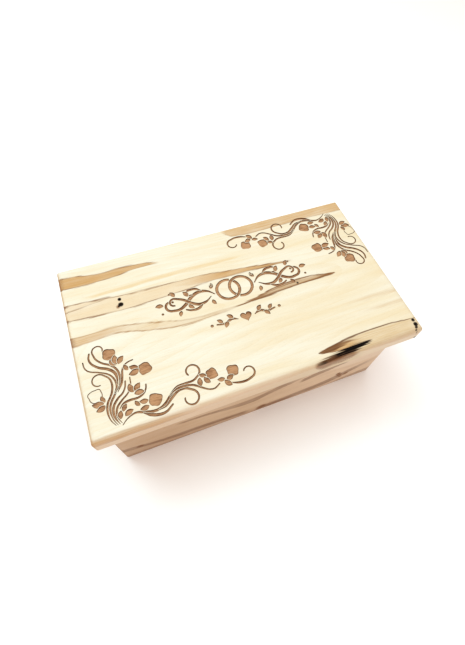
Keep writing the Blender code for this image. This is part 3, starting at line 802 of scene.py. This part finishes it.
LID_STREAKS_AND_SHADE = (
    Streak([(0, 161.5), (18, 160), (34, 156.6), (60, 157), (78, 155.6), (97, 151.6)], [(0, 149),
           (22, 147.2), (45, 148), (68, 150.4), (97, 151.2)], TAN, 1.0, rim=0.85, patchy=0.12),
    Streak([(12, 133.4), (60, 135.4), (110, 136.2), (150, 135), (178, 133.6)], [(12, 131), (60, 131.2),
           (110, 132), (178, 132.2)], HONEY, 0.95, soft=1.4, fade=(24, 16)),
    Streak([(0, 129.8), (25, 128.2), (50, 125.4), (100, 124), (130, 123), (152, 120.4), (180, 117),
           (200, 114.6), (224, 111.4)], [(0, 113), (25, 111.4), (50, 109.6), (75, 110.2), (100, 111.4),
           (125, 113), (150, 113.6), (180, 113), (205, 112.2), (224, 111.2)], PINKISH, 0.75, rim=0.9),
    Streak([(90, 123.4), (130, 122.6), (152, 120.2), (180, 116.8), (200, 114.4), (222, 111.4)],
           [(90, 121.5), (112, 117), (130, 114), (152, 113.8), (180, 113.2), (222, 111.2)], TAN, 0.95,
           rim=0.5, soft=1.1, fade=(64, 14), patchy=0.12),
    band([(0, 122, 123.4), (20, 123.6, 124.8), (44, 126.4, 127.4)], BROWN, 0.6),
    band([(22, 127, 128.6), (34, 126.4, 129), (46, 126.2, 127.4)], BROWN, 0.6, fade=(8, 6)),
    Streak([(0, 95), (20, 94.6), (42, 94.6), (55, 92), (70, 88.6), (85, 85), (95, 81.8), (110, 79.6),
           (130, 79.2), (152, 80)], [(0, 86.6), (20, 87.2), (42, 88), (55, 85), (70, 81), (85, 78),
           (100, 76.4), (125, 77), (152, 78.4)], TAN, 0.3, rim=0.8, rim_tone=RUSSET, rim_width=1.3,
           fade=(0, 24)),
    band([(0, 86.8, 95), (20, 87.6, 94.6), (42, 89, 94.4), (56, 87, 91)], TAN, 0.62, soft=0.8,
         fade=(0, 26)),
    Streak([(140, 79.8), (165, 81), (178, 84.4), (195, 87.2), (213, 88.8), (232, 87.4), (245, 85.4),
           (256, 84)], [(140, 78.4), (170, 79.8), (190, 81), (215, 82.4), (240, 82.9), (256, 83.4)],
           CHESTNUT, 0.88, rim=1.0, rim_tone=BROWN, rim_width=1.1, fade=(22, 4)),
    band([(176, 83.5, 84.3), (195, 86.8, 87.6), (213, 88.4, 89.2), (232, 87, 87.9), (245, 85.1, 85.9),
         (256, 83.7, 84.3)], SEPIA, 0.9, soft=0.4, fade=(8, 2), patchy=0.25, ragged=0.25),
    band([(150, 78.6, 79.3), (170, 79.5, 80.4), (190, 80.7, 81.6), (215, 82.1, 83), (240, 82.6, 83.5),
         (256, 83.3, 83.9)], SEPIA, 0.9, soft=0.4, fade=(8, 2), patchy=0.25, ragged=0.25),
    Streak([(146, 79.6), (160, 80.7), (172, 83), (184, 84.6)], [(146, 78.8), (162, 79.4), (184, 81.4)],
           BROWN, 0.85, soft=0.7, fade=(8, 12)),
    band([(170, 81.4, 82.2), (185, 83.6, 84.6), (203, 85.8, 86.9), (222, 86.6, 87.4)], BROWN, 0.8,
         fade=(8, 12)),
    band([(148, 79, 79.8), (171, 80.2, 81.2), (190, 81.2, 82.4), (215, 82.4, 83.7), (240, 83, 84.4),
         (256, 83.3, 84.4)], BROWN, 0.9, fade=(8, 2)),
    band([(234, 84, 86), (248, 83, 85.2), (256, 83.3, 84)], BROWN, 0.95, rim=0.4, fade=(10, 2)),
    Streak([(164, 171), (200, 176), (305, 178)], [(164, 170.6), (168, 165.6), (174, 160.6), (184, 158.8),
           (230, 158.4), (270, 158.2), (305, 158)], TAN, 0.85, rim=0.5, fade=(8, 1)),
    Streak([(198, 9.8), (213, 12.6), (238, 15), (262, 15.4), (285, 14.2), (305, 12.4)], [(198, 9.4),
           (212, 7), (228, 3), (242, -3), (262, -4.6), (305, -5)], DULL_HONEY, 0.8, soft=0.7, fade=(5, 1),
           patchy=0.3),
    band([(236, -16, -0.4), (262, -16, -1), (305, -16, -1.6)], BLUSH, 0.7, soft=2.2, fade=(10, 1)),
    band([(198, 9, 10.2), (213, 11.7, 13.3), (238, 14.3, 15.8), (262, 15, 16), (285, 13.9, 14.65),
         (305, 12.1, 12.75)], WALNUT, 1.0, soft=0.4, fade=(4, 1), patchy=0.1, ragged=0.25),
    Streak([(200, 10.4), (212, 12.2), (228, 12.4), (248, 10)], [(200, 9.2), (211, 7.6), (226, 6.2),
           (248, 6)], TAN, 0.95, rim=0.9, fade=(3, 22)),
    band([(199, 9.4, 10.2), (206, 8.2, 11.6), (214, 8.2, 12.8), (226, 10, 13.6), (240, 13.4, 14.4)],
         DARK_WALNUT, 1.0, fade=(1, 24), patchy=0.08),
    Streak([(190, 0.4), (200, 2.6), (216, 3.4), (230, 1.6), (240, 0)], [(190, -1), (200, -7.6), (213, -7),
           (226, -6), (240, -2)], RUST, 0.95, soft=1.3, fade=(5, 10), ragged=1.6),
    band([(194, 0, 1), (202, -0.6, 3), (214, 0.4, 5.2), (228, 0.4, 7.2), (240, 2.4, 7.4),
         (253, 5.8, 6.6)], SOOT, 1.0, soft=0.8, fade=(8, 4), patchy=0.15, ragged=1.3),
    band([(208, 2, 2.8), (216, 2, 4.6), (228, 1.2, 6.8), (240, 2.8, 7), (252, 5.8, 6.4)], BLACK, 1.0,
         soft=0.6, fade=(8, 5), patchy=0, ragged=1.5),
    band([(222, 2.6, 5.6), (232, 1.6, 6.4), (246, 4.4, 6.6)], BLACK, 1.0, soft=1.0, fade=(3, 3), patchy=0,
         ragged=1),
    band([(193, -0.4, 0.4), (199, -1.8, 1.2), (206, -0.6, 0.8)], BLACK, 0.75, soft=0.9, fade=(3, 4),
         patchy=0, ragged=1),
    band([(222, -1.4, 0), (262, -3.2, -1.6), (305, -5.6, -4)], TAN, 0.35, soft=0.8, fade=(8, 1),
         ragged=1.5),
    band([(236, 46, 49), (270, 45.6, 48.6), (305, 45, 48)], TAN, 0.42, soft=2.0, fade=(40, 1)),
    band([(250, 33.6, 36), (305, 32.6, 35.4)], TAN, 0.42, soft=1.6, fade=(30, 1)),
    # Painted shade: this band darkens the front round-over, from the left end to about 200 mm, where it
    # leans away from the lamps.
    band([(0, -3, 3.2), (90, -2.4, 3.2), (160, -2, 2.6), (204, -1, 1)], FRONT_ROUNDOVER_SHADE, 0.62, soft=1.6,
         fade=(0, 20)),
    # This band tints the lid's front edge pinker and darker: partly its darker edge grain, partly painted
    # shade of the face turned away from the lamps.
    band([(0, -16, -0.6), (150, -16, -0.4), (260, -16, -3)], EDGE_GRAIN_AND_SHADE, 0.66, soft=1.6, fade=(0, 190)),
    band([(0, -4.5, 2.4), (50, -4, 1.6), (92, -3, -1.4)], TAN, 0.6, rim=0.3, soft=1.4, fade=(0, 30)),
    band([(-1, 86, 96), (7, 87, 95.6)], BROWN, 0.7, fade=(0, 6)),
    band([(-1, 110.6, 114.4), (7, 112.4, 113.4)], BROWN, 0.9, fade=(0, 6)),
    band([(-1, 127, 131), (9, 128.4, 129.4)], BROWN, 0.9, fade=(0, 7)),
    band([(-1, 147, 162), (7, 149, 161)], BROWN, 0.5, fade=(0, 6)),
)
LID_STAINS = (
    (50, 121.6, 1.4, 2.1, 0.95, BLACK), (50, 115.8, 1.9, 2.8, 0.95, BLACK),
    (47.2, 114.3, 0.9, 2.4, 0.85, BROWN), (214.6, 84.6, 0.7, 1.6, 0.9, BLACK),
    (298.6, 11.2, 1.2, 2.2, 0.95, BLACK), (298.4, 6.4, 1.5, 2.4, 0.95, BLACK),
    (297.6, 3.2, 1.1, 2.0, 0.95, BLACK), (296.8, 0.4, 0.7, 1.8, 0.9, BLACK),
    (297.8, -2.4, 0.3, 1.5, 0.75, BLACK), (299.4, -5, 0.2, 1.3, 0.6, BROWN),
    (302.4, -10.5, 0.8, 3, 0.9, BLACK),
)
LID_TILT = 0.6

lid_corner = (lid_low.x, lid_low.y, lid_high.z)
lid_maple = lacquered_maple("streaked_maple_lid", lid_corner, "XYZ", LID_STREAKS_AND_SHADE, LID_STAINS, LID_TILT,
                            length=(lid_high.x - lid_low.x) / MM)

BEAM_PITCH = 0.3 * MM


def burnt_maple(name, pale, dark):
    """The laser's brown: palest in the middle of a stroke, dark where the beam turned at its edges."""
    material, tree, shader = new_material(name)
    places = board_places(tree, lid_corner, "XYZ")
    grain = noise(tree, places, (7, 0.6, 0.6), 3.0, 0.6)
    patches = noise(tree, places, (9, 6, 6), 2.0)
    char = add(tree, "Attribute", attribute_name="char").outputs["Fac"]
    grained = between(tree, grain, 0.4, 0.66, 0.0, 0.48)
    share = maths(tree, "MULTIPLY_ADD", between(tree, char, 0.1, 0.95), 0.75, grained)
    share = maths(tree, "ADD", share, between(tree, patches, 0.4, 0.7, -0.12, 0.3), clamp=True)
    colour = mixed(tree, share, pale, dark)
    tree.links.new(colour, shader.inputs["Base Color"])
    shader.inputs["Roughness"].default_value = 0.8
    shader.inputs["Specular IOR Level"].default_value = 0.06
    place = add(tree, "TexCoord").outputs["Object"]
    links = {"Vector": place, "Scale": 1 / BEAM_PITCH / math.tau, "Distortion": 0.4}
    lines = add(tree, "TexWave", links, bands_direction="Y").outputs["Fac"]
    height = maths(tree, "MULTIPLY_ADD", grain, 0.7, maths(tree, "MULTIPLY", lines, 0.5))
    bump = add(tree, "Bump", {"Height": height, "Distance": 0.08 * MM, "Strength": 0.6})
    tree.links.new(bump.outputs[0], shader.inputs["Normal"])
    return material


burnt_floor = burnt_maple("burnt_floor", (0.455, 0.247, 0.124), (0.155, 0.058, 0.023))
burnt_edge = burnt_maple("burnt_edge", (0.25, 0.095, 0.034), (0.13, 0.046, 0.016))


def gallery_material():
    """The beetles' holes: stained black by their fungus, brown in places."""
    material, tree, shader = new_material("beetle_gallery")
    places = board_places(tree, lid_corner, "XYZ")
    patches = noise(tree, places, (1.5, 1.0, 1.0), 2.0)
    stained = mixed(tree, patches, (0.01, 0.006, 0.004), (0.09, 0.05, 0.03))
    tree.links.new(stained, shader.inputs["Base Color"])
    shader.inputs["Roughness"].default_value = 0.9
    return material


def finish_mesh(bm, name, *materials):
    """A plain object from a bmesh: doubles welded, smooth but for its sharp edges, flat faces kept flat."""
    bmesh.ops.remove_doubles(bm, verts=bm.verts, dist=1e-7)
    for face in bm.faces:
        face.smooth = True
    for edge in bm.edges:
        edge.smooth = len(edge.link_faces) == 2 and edge.calc_face_angle() < SHARPEST
    draft = to_object(name + "_draft", bm, *materials)
    draft.modifiers.new("flats", "WEIGHTED_NORMAL").keep_sharp = True
    mesh = bpy.data.meshes.new_from_object(draft.evaluated_get(bpy.context.evaluated_depsgraph_get()))
    bpy.data.objects.remove(draft)
    mesh.name = name
    piece = bpy.data.objects.new(name, mesh)
    bpy.context.scene.collection.objects.link(piece)
    return piece


def fit(piece, body, slot, *nodes):
    """Hangs a piece on a body in place of these CAD nodes."""
    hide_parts(*nodes)
    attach(piece, body)


bm = lid_blank()
top_sheet(bm, vine() + turned_vine() + middle_motif(), [hole_outline(*spec) for spec in BEETLE_HOLES])
lid = finish_mesh(bm, "engraved_lid", lid_maple, burnt_floor, burnt_edge, gallery_material())
fit(lid, "lid", "lid_maple", "lid_board")

# ---------------------------------------------------------------------------------------------
# Walls
# Four 12.7 mm maple boards, mitred and glued at the corners, the upright corners rounded and the
# rims eased with sandpaper. A rabbet round the foot takes the bottom and two seats in the back
# wall's rim take the hinges. The streaks of the front wall run on past small pin knots.

WALL = 12.7 * MM
RABBET = 6.35 * MM
RABBET_HEIGHT = 6.65 * MM
BODY_CORNER = 3 * MM
OUTER_EASING = 0.8 * MM
INNER_EASING = 0.5 * MM
GLUE_LINE = 0.05 * MM
ARC_STEPS = 6
FAWN = (0.66, 0.50, 0.34)
FAWN_DARK = (0.54, 0.375, 0.235)
UMBER = (0.245, 0.135, 0.078)


def wall_plan(half, inset, depth):
    """One mitred wall in plan, along X, its outer face at Y 0: the outer chain, then the inner one."""
    turn = BODY_CORNER - inset
    chain = []
    for i in range(ARC_STEPS + 1):
        a = math.pi / 4 * (1 - i / ARC_STEPS)
        chain.append((BODY_CORNER - half - turn * math.sin(a), BODY_CORNER - turn * math.cos(a)))
    chain += [(-x, y) for x, y in chain[::-1]]
    inner = WALL - RABBET
    chain += [(half - inner, inner), (half - depth, depth), (depth - half, depth), (inner - half, inner)]
    reach = half - GLUE_LINE
    return [(min(max(x, y - reach), reach - y), y) for x, y in chain]


def wall_board(name, half, foot, rim):
    """A wall standing along X, from its foot to its rim, with the rabbet and both rims eased."""
    shallow = WALL - RABBET
    rings = [(wall_plan(half, OUTER_EASING * x, shallow), foot + OUTER_EASING * y) for x, y in rounding(4)]
    rings += [(wall_plan(half, 0, depth), foot + RABBET_HEIGHT) for depth in (shallow, WALL)]
    for y, x in rounding(4):
        rings.append((wall_plan(half, OUTER_EASING * x, WALL - INNER_EASING * x), rim - OUTER_EASING * y))
    bm = prism(rings)
    bmesh.ops.remove_doubles(bm, verts=bm.verts, dist=1e-7)
    return bm


WARM_CREAM = (0.8, 0.64, 0.47)
PAINTED_FOOT_SHADE = (0.4, 0.27, 0.185)
FAWN_SHADE = (0.5, 0.33, 0.2)
PEACH = (0.78, 0.66, 0.51)

FRONT_STREAKS_AND_SHADE = (
    band([(120, -10, 110), (290, -10, 110)], WARM_CREAM, 0.75, soft=3, fade=(110, 1)),
    # Painted shade: this streak darkens the foot of the front wall, over wood that is a darker tan there,
    # where little light reaches past the table.
    Streak([(0, 24), (60, 16), (138, 9), (150, 9), (230, 16), (262, 25), (290, 36)], [(0, -10),
           (150, -10), (290, -10)], PAINTED_FOOT_SHADE, 0.5, soft=2.4, fade=(0, 110)),
    band([(0, -10, 110), (100, -10, 80)], FAWN_SHADE, 0.55, soft=3, fade=(0, 60)),
    Streak([(0, 104), (100, 104), (290, 104)], [(0, 64), (60, 65), (180, 66), (290, 76)], CREAM, 0.55,
           soft=3, fade=(0, 1)),
    Streak([(190, 78), (215, 76), (290, 90)], [(190, 70), (205, 62), (235, 50), (290, 46)], PEACH, 0.85,
           soft=4, fade=(30, 1)),
    band([(56, 54, 57), (92, 49, 54.5), (112, 43, 51), (140, 40, 51), (156, 47, 57), (178, 55, 66),
         (200, 62, 76)], UMBER, 0.75, rim=0.6, soft=1.4, fade=(10, 26)),
    band([(188, 48, 53), (205, 50, 60), (222, 55, 63.5), (246, 61, 64)], UMBER, 0.85, rim=0.55, soft=1.2,
         fade=(6, 10)),
    band([(0, 25, 33), (17, 21, 30), (30, 18, 25), (52, 13, 22), (92, 11, 20), (138, 5, 13)], UMBER, 0.9,
         rim=0.5, soft=1.5, fade=(0, 10)),
    band([(17, 23, 26), (30, 20, 22), (52, 15.6, 18.5), (100, 11.5, 15), (138, 7.5, 10)], BROWN, 0.4,
         soft=1.5, fade=(4, 20)),
    band([(142, 4, 13), (160, 2, 12), (192, 5, 15), (227, 8, 20), (245, 14, 27), (262, 24, 34),
         (290, 37, 44)], UMBER, 0.8, rim=0.5, soft=1.5, fade=(6, 30)),
    band([(146, 5, 10), (165, 4.5, 9.5), (195, 8, 11.5)], BROWN, 0.5, soft=1.5, fade=(4, 20)),
    # These two bands darken the front wall along its very foot.
    band([(0, -10, 8), (60, -10, 4), (110, -10, 0)], UMBER, 0.5, rim=0.3, soft=2, fade=(0, 20)),
    band([(236, -10, 3), (262, -10, 9), (290, -10, 13)], UMBER, 0.6, rim=0.3, soft=2, fade=(14, 1)),
)
FRONT_STAINS = (
    (18.5, 26, 2.0, 5.0, 0.95, BROWN), (151.5, 10.5, 2.2, 6.6, 0.9, BROWN),
    (148, 5.5, 1.4, 5, 0.75, BROWN), (241.5, 28.5, 1.6, 4.2, 1.0, BROWN),
    (244.5, 22.5, 2.0, 5.0, 1.0, BROWN), (253, 20.5, 1.6, 4.8, 0.95, BROWN),
    (247.5, 15.5, 1.0, 3.6, 0.85, BROWN),
)
BACK_STREAKS = (
    band([(0, 60, 72), (70, 58, 69), (150, 62, 74), (220, 76, 84), (290, 84, 88)], TAN, 0.8, rim=0.7,
         soft=1, fade=(0, 30)),
    band([(60, 33, 36), (130, 31, 42), (200, 27, 40), (290, 14, 30)], PINKISH, 0.8, rim=0.8, soft=1,
         fade=(24, 1)),
    band([(0, 10, 22), (60, 9, 18), (140, 5, 8)], TAN, 0.85, rim=0.5, soft=1.2),
)
BACK_STAINS = (
    (196, 35, 0.8, 3.6, 0.8, BROWN),
)
END_STREAKS = (
    band([(0, 48, 58), (50, 47, 62), (110, 44, 54), (163, 42, 46)], TAN, 0.8, rim=0.6, soft=1.2,
         fade=(0, 20)),
    band([(0, 14, 26), (60, 12, 20), (120, 12, 24), (163, 20, 34)], TAN, 0.7, rim=0.5, soft=1.4,
         fade=(0, 1)),
)
END_STAINS = (
    (104, 18, 0.8, 3.6, 0.75, BROWN),
)

body_low, body_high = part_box("left_wall")[0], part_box("right_wall")[1]
middle = (body_low + body_high) / 2
long_half, short_half = (body_high.x - body_low.x) / 2, (body_high.y - body_low.y) / 2
WALLS = (
    ("front", (middle.x, body_low.y), 0, long_half, "XZY", FRONT_STREAKS_AND_SHADE, FRONT_STAINS),
    ("right", (body_high.x, middle.y), 1, short_half, "YZX", END_STREAKS, END_STAINS),
    ("back", (middle.x, body_high.y), 2, long_half, "XZY", BACK_STREAKS, BACK_STAINS),
    ("left", (body_low.x, middle.y), 3, short_half, "YZX", END_STREAKS, END_STAINS),
)
for side, (x, y), quarters, half, order, streaks, stains in WALLS:
    bm = wall_board(side, half, body_low.z, body_high.z)
    turn = Matrix.Rotation(quarters * math.pi / 2, 4, "Z")
    bmesh.ops.transform(bm, matrix=Matrix.Translation((x, y, 0)) @ turn, verts=bm.verts)
    if side == "back":
        bm = cut_away(bm, hinge_seats(body_high.z, -1))
    maple = lacquered_maple(f"streaked_maple_{side}", tuple(body_low), order, streaks, stains,
                            base=(FAWN, FAWN_DARK))
    fit(finish_mesh(bm, f"{side}_board", maple), "box", "wall_maple", f"{side}_wall")

# ---------------------------------------------------------------------------------------------
# Bottom
# One thin maple panel let into the rabbet from below, flush with the walls' feet, its edges
# broken with sandpaper. It is paler than the walls.

BOTTOM_EASING = 0.4 * MM
BOTTOM_STREAKS = (
    band([(0, 112, 120), (90, 104, 112), (200, 112, 118), (277, 106, 110)], HONEY, 0.7, rim=0.3, soft=1.6,
         fade=(0, 1)),
    band([(40, 50, 52), (140, 50, 60), (277, 46, 58)], HONEY, 0.6, rim=0.4, soft=1.2, fade=(30, 1)),
)


def eased_panel(low, high, easing):
    """A flat panel with all its edges rounded a little."""
    foot = [(rounded_plan(low, high, easing * x, MM), low.z + easing * y) for x, y in rounding(3)]
    head = [(rounded_plan(low, high, easing * x, MM), high.z - easing * y) for y, x in rounding(3)]
    return prism(foot + head)


low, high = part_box("bottom_panel")
panel_maple = lacquered_maple("maple_bottom", tuple(low), "XYZ", BOTTOM_STREAKS)
panel = finish_mesh(eased_panel(low, high, BOTTOM_EASING), "bottom_board", panel_maple)
fit(panel, "box", "panel_maple", "bottom_panel")

# ---------------------------------------------------------------------------------------------
# Hinges
# Two 38 mm solid brass butt hinges. Each leaf is let in flush and its knuckles, three below and
# two above, turn on a loose brass pin whose round ends stand just out of the barrel.

KNUCKLES = 5
KNUCKLE_GAP = 0.3 * MM
KNUCKLE_EASING = 0.25 * MM
LEAF_THICKNESS = 1.4 * MM
LEAF_CORNER = 1.2 * MM
LEAF_EASING = 0.15 * MM
BORE = 1.25 * MM
HEAD_RADIUS = 2.2 * MM
SHANK_RADIUS = 1.1 * MM
HEAD_DEPTH = HEAD_RADIUS - SHANK_RADIUS
FINE_GAP = 0.12 * MM
BOX_RIM, LID_UNDERSIDE = body_high.z, lid_low.z


def turned(profile, matrix, sides=48):
    """A closed body lathed about Z from (radius, height) points, lowest first, its ends on the axis."""
    bm = bmesh.new()
    foot, *rings, head = profile
    loops = []
    for radius, height in rings:
        turns = [math.tau * i / sides for i in range(sides)]
        loops.append([bm.verts.new((radius * math.cos(a), radius * math.sin(a), height)) for a in turns])
    low, high = bm.verts.new((0, 0, foot[1])), bm.verts.new((0, 0, head[1]))
    for i in range(sides):
        j = (i + 1) % sides
        bm.faces.new((low, loops[0][j], loops[0][i]))
        bm.faces.new((high, loops[-1][i], loops[-1][j]))
        for lower, upper in zip(loops, loops[1:]):
            bm.faces.new((lower[i], lower[j], upper[j], upper[i]))
    bmesh.ops.transform(bm, matrix=matrix, verts=bm.verts)
    return bm


def rounded_rod(radius, start, end, easing, centre_y, centre_z):
    """A rod along X with rounded rims."""
    profile = [(0, start)] + [(radius - easing * x, start + easing * y) for x, y in rounding(4)]
    profile += [(r, start + end - x) for r, x in profile[:0:-1]] + [(0, end)]
    place = Matrix.Translation((0, centre_y, centre_z)) @ Matrix.Rotation(math.pi / 2, 4, "Y")
    return turned(profile, place)


def countersink(x, y, face, up):
    """The cutter for a screw's hole in a leaf, widest at the leaf's face."""
    head, shank = HEAD_RADIUS + FINE_GAP, SHANK_RADIUS + FINE_GAP
    through = LEAF_THICKNESS + MM
    profile = [(0, -through), (shank, -through), (shank, -HEAD_DEPTH), (head, 0), (head, MM), (0, MM)]
    turn = Matrix.Rotation(math.pi, 4, "X") if up > 0 else Matrix.Identity(4)
    return turned(profile, Matrix.Translation((x, y, face)) @ turn, 32)


def hinge_leaf(side, up, own):
    """One leaf with its knuckles: up is 1 for the lid's and -1 for the wall's, own is its first knuckle."""
    box_low, box_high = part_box(f"{side}_hinge_lid_leaf")
    pin_low, pin_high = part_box(f"{side}_hinge_pin")
    axis_y, axis_z = (pin_low.y + pin_high.y) / 2, (pin_low.z + pin_high.z) / 2
    radius = (box_high.z - box_low.z) / 2
    face = LID_UNDERSIDE if up > 0 else BOX_RIM
    ends = sorted((face, face + up * LEAF_THICKNESS))
    plate_back = axis_y - radius - KNUCKLE_GAP
    low, high = Vector((box_low.x, box_low.y, ends[0])), Vector((box_high.x, plate_back, ends[1]))
    heights = low.z, low.z + LEAF_EASING, high.z - LEAF_EASING, high.z
    rings = [(rounded_plan(low, high, inset, LEAF_CORNER), z)
             for inset, z in zip((LEAF_EASING, 0, 0, LEAF_EASING), heights)]
    step = (box_high.x - box_low.x) / KNUCKLES
    rods, tabs = [], []
    for i in range(own, KNUCKLES, 2):
        start = box_low.x + i * step + (KNUCKLE_GAP / 2 if i else 0)
        end = box_low.x + (i + 1) * step - (KNUCKLE_GAP / 2 if i < KNUCKLES - 1 else 0)
        rods.append(rounded_rod(radius, start, end, KNUCKLE_EASING, axis_y, axis_z))
        tabs.append(block((start + 0.1 * MM, plate_back - 2 * MM, ends[0] + 0.01 * MM),
                          (end - 0.1 * MM, axis_y, ends[1] - 0.01 * MM)))
    bm = cut_away(prism(rings), tabs, "UNION")
    bm = cut_away(bm, rods, "UNION")
    start, end = box_low.x - MM, box_high.x + MM
    bore = turned([(0, start), (BORE, start), (BORE, end), (0, end)],
                  Matrix.Translation((0, axis_y, axis_z)) @ Matrix.Rotation(math.pi / 2, 4, "Y"), 32)
    return cut_away(bm, [bore] + [countersink(x, y, face, up) for x, y in screw_places(side)])


def brass(name, base, worn, rough):
    """Satin brass: faintly brushed along its length, a little darker where it has tarnished."""
    material, tree, shader = new_material(name)
    places = board_places(tree, (0, 0, 0), "XYZ")
    brushed = noise(tree, places, (9, 0.12, 0.12), 2.0)
    patches = noise(tree, places, (3.5, 2.5, 2.5), 3.0, 0.6)
    colour = mixed(tree, between(tree, patches, 0.4, 0.72, 0.0, 0.7), base, worn)
    tree.links.new(colour, shader.inputs["Base Color"])
    shader.inputs["Metallic"].default_value = 1.0
    level = maths(tree, "MULTIPLY_ADD", brushed, 0.12, rough - 0.14)
    level = maths(tree, "MULTIPLY_ADD", patches, 0.16, level)
    tree.links.new(level, shader.inputs["Roughness"])
    bump = add(tree, "Bump", {"Height": brushed, "Distance": 0.02 * MM, "Strength": 0.35})
    tree.links.new(bump.outputs[0], shader.inputs["Normal"])
    return material


hinge_brass = brass("satin_brass", (0.80, 0.58, 0.27), (0.58, 0.38, 0.16), 0.34)
pin_brass = brass("pin_brass", (0.76, 0.54, 0.25), (0.55, 0.36, 0.15), 0.30)
for side in ("left", "right"):
    box_leaf = finish_mesh(hinge_leaf(side, -1, 0), f"{side}_box_leaf", hinge_brass)
    fit(box_leaf, "box", "hinge_brass", f"{side}_hinge_body_leaf")
    lid_leaf = finish_mesh(hinge_leaf(side, 1, 1), f"{side}_lid_leaf", hinge_brass)
    fit(lid_leaf, "lid", "hinge_brass", f"{side}_hinge_lid_leaf")
    low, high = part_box(f"{side}_hinge_pin")
    radius = (high.z - low.z) / 2
    pin = rounded_rod(radius, low.x, high.x, 0.5 * MM, (low.y + high.y) / 2, (low.z + high.z) / 2)
    fit(finish_mesh(pin, f"{side}_pin", pin_brass), "box", "pin_brass", f"{side}_hinge_pin")

# ---------------------------------------------------------------------------------------------
# Screws
# Twelve small countersunk brass wood screws with plain slots, three to a leaf, driven until their
# heads lie flush. Each was stopped wherever its slot happened to point.

SCREW_LENGTH = 9.5 * MM
HEAD_RECESS = 0.1 * MM
SLOT_WIDTH = 0.55 * MM
SLOT_DEPTH = 0.55 * MM
THREAD_PITCH = 0.9 * MM


def wood_screw():
    """One screw, head up, its face at height 0 and its thread rolled as shallow rings."""
    profile = [(0, -SCREW_LENGTH), (0.15 * MM, -SCREW_LENGTH)]
    height = -SCREW_LENGTH + THREAD_PITCH
    while height < -HEAD_DEPTH - 3 * MM:
        crest = SHANK_RADIUS * min(1, 0.35 + (height + SCREW_LENGTH) / (3 * MM))
        root, flank = 0.78 * crest, 0.32 * THREAD_PITCH
        profile += [(root, height - flank), (crest, height), (root, height + flank)]
        height += THREAD_PITCH
    profile += [(SHANK_RADIUS, -HEAD_DEPTH - 2.4 * MM), (SHANK_RADIUS, -HEAD_DEPTH),
                (HEAD_RADIUS, -0.12 * MM), (HEAD_RADIUS, -0.04 * MM), (HEAD_RADIUS - 0.08 * MM, 0), (0, 0)]
    half = HEAD_RADIUS + MM
    slot = block((-half, -SLOT_WIDTH / 2, -SLOT_DEPTH), (half, SLOT_WIDTH / 2, MM))
    return cut_away(turned(profile, Matrix.Identity(4), 32), [slot])


def screw_setter():
    """Geometry nodes that set one screw on each point, turned at random about its own axis."""
    tree = bpy.data.node_groups.new("screw_setter", "GeometryNodeTree")
    inputs = {"Places": "Geometry", "Screw": "Object", "Finish": "Material", "Tip over": "Float",
              "Seed": "Int"}
    sockets = {}
    for name, kind in inputs.items():
        socket = tree.interface.new_socket(name, in_out="INPUT", socket_type="NodeSocket" + kind)
        sockets[name] = socket.identifier
    tree.interface.new_socket("Screws", in_out="OUTPUT", socket_type="NodeSocketGeometry")
    given, out = tree.nodes.new("NodeGroupInput"), tree.nodes.new("NodeGroupOutput")
    model = tree.nodes.new("GeometryNodeObjectInfo")
    chance = tree.nodes.new("FunctionNodeRandomValue")
    chance.data_type = "FLOAT"
    turn = tree.nodes.new("ShaderNodeCombineXYZ")
    setter = tree.nodes.new("GeometryNodeInstanceOnPoints")
    real = tree.nodes.new("GeometryNodeRealizeInstances")
    finish = tree.nodes.new("GeometryNodeSetMaterial")
    links = tree.links
    links.new(given.outputs["Screw"], model.inputs["Object"])
    chance.inputs[3].default_value = math.pi
    links.new(given.outputs["Seed"], chance.inputs["Seed"])
    links.new(given.outputs["Tip over"], turn.inputs["X"])
    links.new(chance.outputs[1], turn.inputs["Z"])
    links.new(given.outputs["Places"], setter.inputs["Points"])
    links.new(model.outputs["Geometry"], setter.inputs["Instance"])
    links.new(turn.outputs[0], setter.inputs["Rotation"])
    links.new(setter.outputs[0], real.inputs[0])
    links.new(real.outputs[0], finish.inputs["Geometry"])
    links.new(given.outputs["Finish"], finish.inputs["Material"])
    links.new(finish.outputs[0], out.inputs[0])
    return tree, sockets


def driven_screws(name, model, height, tip_over, seed):
    """All the screws of one body as a plain mesh."""
    places = bpy.data.meshes.new(name + "_places")
    plan = [*screw_places("left"), *screw_places("right")]
    places.from_pydata([(x, y, height) for x, y in plan], [], [])
    host = bpy.data.objects.new(name + "_places", places)
    bpy.context.scene.collection.objects.link(host)
    tree, sockets = screw_setter()
    setter = host.modifiers.new("setter", "NODES")
    setter.node_group = tree
    given = {"Screw": model, "Finish": screw_brass, "Tip over": tip_over, "Seed": seed}
    for socket, value in given.items():
        setter[sockets[socket]] = value
    mesh = bpy.data.meshes.new_from_object(host.evaluated_get(bpy.context.evaluated_depsgraph_get()))
    bpy.data.objects.remove(host)
    bm = bmesh.new()
    bm.from_mesh(mesh)
    return finish_mesh(bm, name, screw_brass)


screw_brass = brass("screw_brass", (0.82, 0.62, 0.31), (0.60, 0.41, 0.18), 0.26)
screw_model = to_object("screw_model", wood_screw())
wall_screws = driven_screws("wall_screws", screw_model, BOX_RIM - HEAD_RECESS, 0.0, 4)
lid_screws = driven_screws("lid_screws", screw_model, LID_UNDERSIDE + HEAD_RECESS, math.pi, 9)
bpy.data.objects.remove(screw_model)
numbered = [(side, i) for side in ("left", "right") for i in (1, 2, 3)]
fit(wall_screws, "box", "screw_brass", *[f"{side}_wall_screw_{i}" for side, i in numbered])
fit(lid_screws, "lid", "screw_brass", *[f"{side}_lid_screw_{i}" for side, i in numbered])

low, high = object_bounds()
